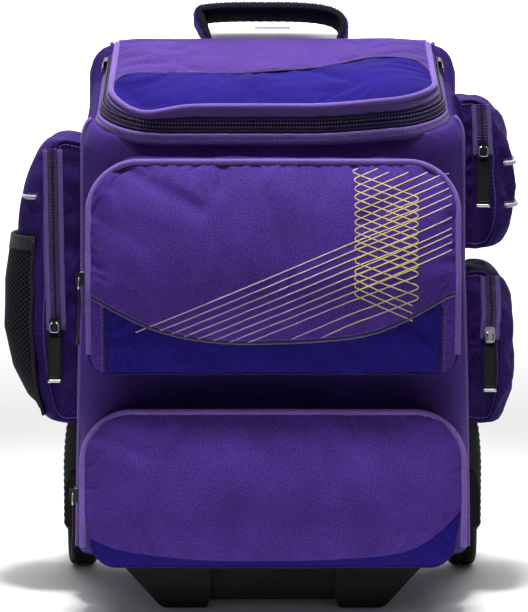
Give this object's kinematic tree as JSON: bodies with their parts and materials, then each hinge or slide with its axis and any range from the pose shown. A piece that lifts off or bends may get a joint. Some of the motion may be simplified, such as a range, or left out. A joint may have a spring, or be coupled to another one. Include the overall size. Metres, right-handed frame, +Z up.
{
  "type": "rolling bowling bag",
  "caption": "Upright rolling bag for a bowling ball: zipped sloping lid, front and side pockets, carry loop, telescopic pull handle, rear wheels and front skid.",
  "frame": {"origin": "centre of the bounding box's footprint, on the floor", "axes": "+Z up, -Y the bag's front with the two large pockets, +X to the right seen from the front"},
  "size_m": [0.457, 0.322, 0.5173],
  "materials": {
    "fabric_purple": "woven polyester",
    "fabric_dark": "woven polyester, shaded side",
    "zip_tape": "woven tape with coil teeth",
    "mesh": "open elastic net",
    "webbing": "padded woven webbing",
    "foam": "dense foam under lining cloth",
    "reflective": "grey reflective cord",
    "board": "smooth sheet",
    "black_plastic": "fine moulded texture",
    "grip_plastic": "light grey moulding",
    "button_plastic": "dark grey moulding",
    "tyre": "soft polyurethane",
    "hub_plastic": "moulded nylon",
    "bush_brass": "sintered bronze",
    "steel": "zinc plated",
    "tube_aluminium": "satin anodised",
    "slider_metal": "black enamelled zinc",
    "pull_rubber": "moulded tag on a wire loop"
  },
  "bodies": {
    "bag": {"front_panel": "fabric_purple", "right_side_panel": "fabric_dark", "left_side_panel": "fabric_dark", "back_panel": "fabric_dark", "bottom_panel": "fabric_dark", "rear_top_strip": "fabric_purple", "base_board": "board", "back_board": "board", "ball_cradle": "foam", "lid_zip_lower": "zip_tape", "upper_pocket_pouch": "fabric_purple", "upper_pocket_zip": "zip_tape", "lower_pocket_pouch": "fabric_purple", "lower_pocket_zip": "zip_tape", "left_pocket": "fabric_dark", "right_upper_pocket": "fabric_purple", "right_lower_pocket": "fabric_purple", "mesh_pocket": "mesh", "left_pocket_zip": "zip_tape", "right_upper_zip": "zip_tape", "right_lower_zip": "zip_tape", "reflective_piping": "reflective", "front_skid": "black_plastic", "rear_base": "black_plastic", "trolley_outer_tubes": "tube_aluminium", "trolley_bezel": "black_plastic", "handle_tabs": "webbing", "screws": "steel", "axle_left": "steel", "wheel_housing_left": "black_plastic", "axle_right": "steel", "wheel_housing_right": "black_plastic"},
    "lid": {"lid_panel": "fabric_purple", "lid_zip_upper": "zip_tape"},
    "upper_flap": {"upper_pocket_flap": "fabric_purple"},
    "lower_flap": {"lower_pocket_flap": "fabric_purple"},
    "carry_loop": {"carry_handle": "webbing"},
    "handle_mid": {"trolley_mid_tubes": "tube_aluminium"},
    "handle_inner": {"trolley_inner_tubes": "tube_aluminium", "trolley_grip": "grip_plastic"},
    "release_button": {"grip_button": "button_plastic", "release_rods": "tube_aluminium"},
    "lid_slider_left": {"lid_slider_left": "slider_metal"},
    "lid_slider_right": {"lid_slider_right": "slider_metal"},
    "wheel_left": {"tyre_left": "tyre", "wheel_hub_left": "hub_plastic", "wheel_bush_left": "bush_brass"},
    "wheel_right": {"tyre_right": "tyre", "wheel_hub_right": "hub_plastic", "wheel_bush_right": "bush_brass"},
    "left_pocket_slider": {"left_pocket_slider": "slider_metal"},
    "left_pocket_pull": {"left_pocket_pull": "pull_rubber"},
    "right_upper_slider": {"right_upper_slider": "slider_metal"},
    "right_upper_pull": {"right_upper_pull": "pull_rubber"},
    "right_lower_slider": {"right_lower_slider": "slider_metal"},
    "right_lower_pull": {"right_lower_pull": "pull_rubber"},
    "upper_pocket_slider": {"upper_pocket_slider": "slider_metal"},
    "upper_pocket_pull": {"upper_pocket_pull": "pull_rubber"},
    "lower_pocket_slider": {"lower_pocket_slider": "slider_metal"},
    "lower_pocket_pull": {"lower_pocket_pull": "pull_rubber"}
  },
  "joints": [
    {"name": "lid_hinge", "type": "hinge", "parent": "bag", "child": "lid", "pos_m": [0.01039, 0.0812, 0.49], "axis": [-1, 0, 0], "range_deg": [0, 110]},
    {"name": "upper_flap_hinge", "type": "hinge", "parent": "bag", "child": "upper_flap", "pos_m": [0.01039, -0.159, 0.2842], "axis": [1, 0, 0], "range_deg": [0, 140]},
    {"name": "lower_flap_hinge", "type": "hinge", "parent": "bag", "child": "lower_flap", "pos_m": [0.01039, -0.161, 0.1002], "axis": [1, 0, 0], "range_deg": [0, 140]},
    {"name": "carry_loop_hinge", "type": "hinge", "parent": "bag", "child": "carry_loop", "pos_m": [0.01039, 0.101, 0.4825], "axis": [1, 0, 0], "range_deg": [0, 28]},
    {"name": "handle_mid_slide", "type": "slide", "parent": "bag", "child": "handle_mid", "axis": [0, 0, 1], "range_m": [0, 0.27]},
    {"name": "handle_inner_slide", "type": "slide", "parent": "handle_mid", "child": "handle_inner", "axis": [0, 0, 1], "range_m": [0, 0.27]},
    {"name": "release_button_slide", "type": "slide", "parent": "handle_inner", "child": "release_button", "axis": [0, 0, -1], "range_m": [0, 0.0035], "stiffness_N_per_m": 800, "springref_m": -0.004},
    {"name": "wheel_spin_left", "type": "hinge", "parent": "bag", "child": "wheel_left", "pos_m": [-0.16461, 0.113, 0.04], "axis": [1, 0, 0], "continuous": true},
    {"name": "wheel_spin_right", "type": "hinge", "parent": "bag", "child": "wheel_right", "pos_m": [0.18539, 0.113, 0.04], "axis": [1, 0, 0], "continuous": true},
    {"name": "lid_slider_slide_left", "type": "slide", "parent": "bag", "child": "lid_slider_left", "axis": [-0.0203, -0.9566, -0.2907], "range_m": [0, 0.06]},
    {"name": "lid_slider_slide_right", "type": "slide", "parent": "bag", "child": "lid_slider_right", "axis": [0.0203, -0.9566, -0.2907], "range_m": [0, 0.06]},
    {"name": "left_pocket_slider_slide", "type": "slide", "parent": "bag", "child": "left_pocket_slider", "axis": [0, 0, 1], "range_m": [0, 0.147]},
    {"name": "left_pocket_pull_hinge", "type": "hinge", "parent": "left_pocket_slider", "child": "left_pocket_pull", "pos_m": [-0.18061, -0.047, 0.24], "axis": [-1, 0, 0], "range_deg": [0, 120]},
    {"name": "right_upper_slider_slide", "type": "slide", "parent": "bag", "child": "right_upper_slider", "axis": [0, 0, 1], "range_m": [0, 0.033]},
    {"name": "right_upper_pull_hinge", "type": "hinge", "parent": "right_upper_slider", "child": "right_upper_pull", "pos_m": [0.19339, -0.047, 0.394], "axis": [-1, 0, 0], "range_deg": [0, 120]},
    {"name": "right_lower_slider_slide", "type": "slide", "parent": "bag", "child": "right_lower_slider", "axis": [0, 0, 1], "range_m": [0, 0.045]},
    {"name": "right_lower_pull_hinge", "type": "hinge", "parent": "right_lower_slider", "child": "right_lower_pull", "pos_m": [0.20039, -0.047, 0.232], "axis": [-1, 0, 0], "range_deg": [0, 120]},
    {"name": "upper_pocket_slider_slide", "type": "slide", "parent": "bag", "child": "upper_pocket_slider", "axis": [0, 0, 1], "range_m": [0, 0.049]},
    {"name": "upper_pocket_pull_hinge", "type": "hinge", "parent": "upper_pocket_slider", "child": "upper_pocket_pull", "pos_m": [-0.15361, -0.145, 0.291], "axis": [0, 1, 0], "range_deg": [0, 120]},
    {"name": "lower_pocket_slider_slide", "type": "slide", "parent": "bag", "child": "lower_pocket_slider", "axis": [0, 0, 1], "range_m": [0, 0.021]},
    {"name": "lower_pocket_pull_hinge", "type": "hinge", "parent": "lower_pocket_slider", "child": "lower_pocket_pull", "pos_m": [-0.15961, -0.147, 0.107], "axis": [0, 1, 0], "range_deg": [0, 120]}
  ]
}
